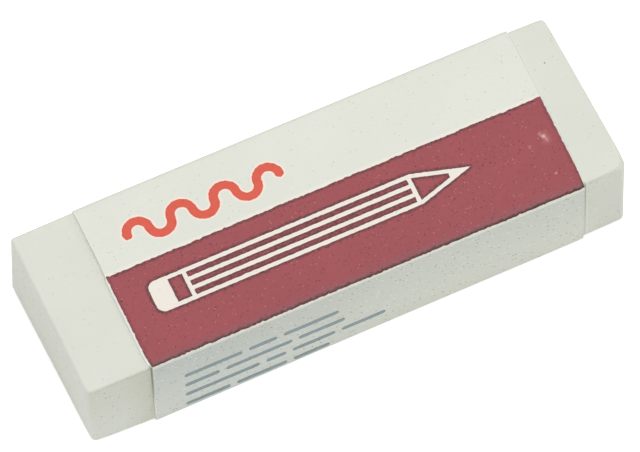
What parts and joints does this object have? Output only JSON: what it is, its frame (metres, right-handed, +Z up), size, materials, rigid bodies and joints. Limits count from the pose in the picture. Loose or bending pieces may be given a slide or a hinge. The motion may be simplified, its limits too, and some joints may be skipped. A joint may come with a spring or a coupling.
{
  "type": "pencil eraser in a card sleeve",
  "caption": "Oblong white vinyl pencil eraser with softly rounded edges, held in a folded card sleeve that slides along it and leaves both ends bare for rubbing.",
  "frame": {"origin": "below the middle of the whole eraser, on the surface that it rests on", "axes": "+X along the block, away from the end with the longer bare stretch; +Y to the long narrow side where the sleeve is glued; +Z up through the printed broad face"},
  "size_m": [0.065, 0.022, 0.0131],
  "materials": {
    "vinyl": "matt, slightly powdery white vinyl rubber",
    "card": "smooth coated white card with a faint sheen",
    "maroon_ink": "flat printed maroon ink",
    "red_ink": "flat printed orange-red ink",
    "grey_ink": "flat printed blue-grey ink"
  },
  "bodies": {
    "block": {"eraser_block": "vinyl"},
    "sleeve": {"card_sleeve": "card", "printed_band": "maroon_ink", "printed_squiggle": "red_ink", "printed_dashes": "grey_ink"}
  },
  "joints": [
    {"name": "sleeve_slide", "type": "slide", "parent": "block", "child": "sleeve", "axis": [1, 0, 0], "range_m": [-0.0605, 0.0575]}
  ]
}
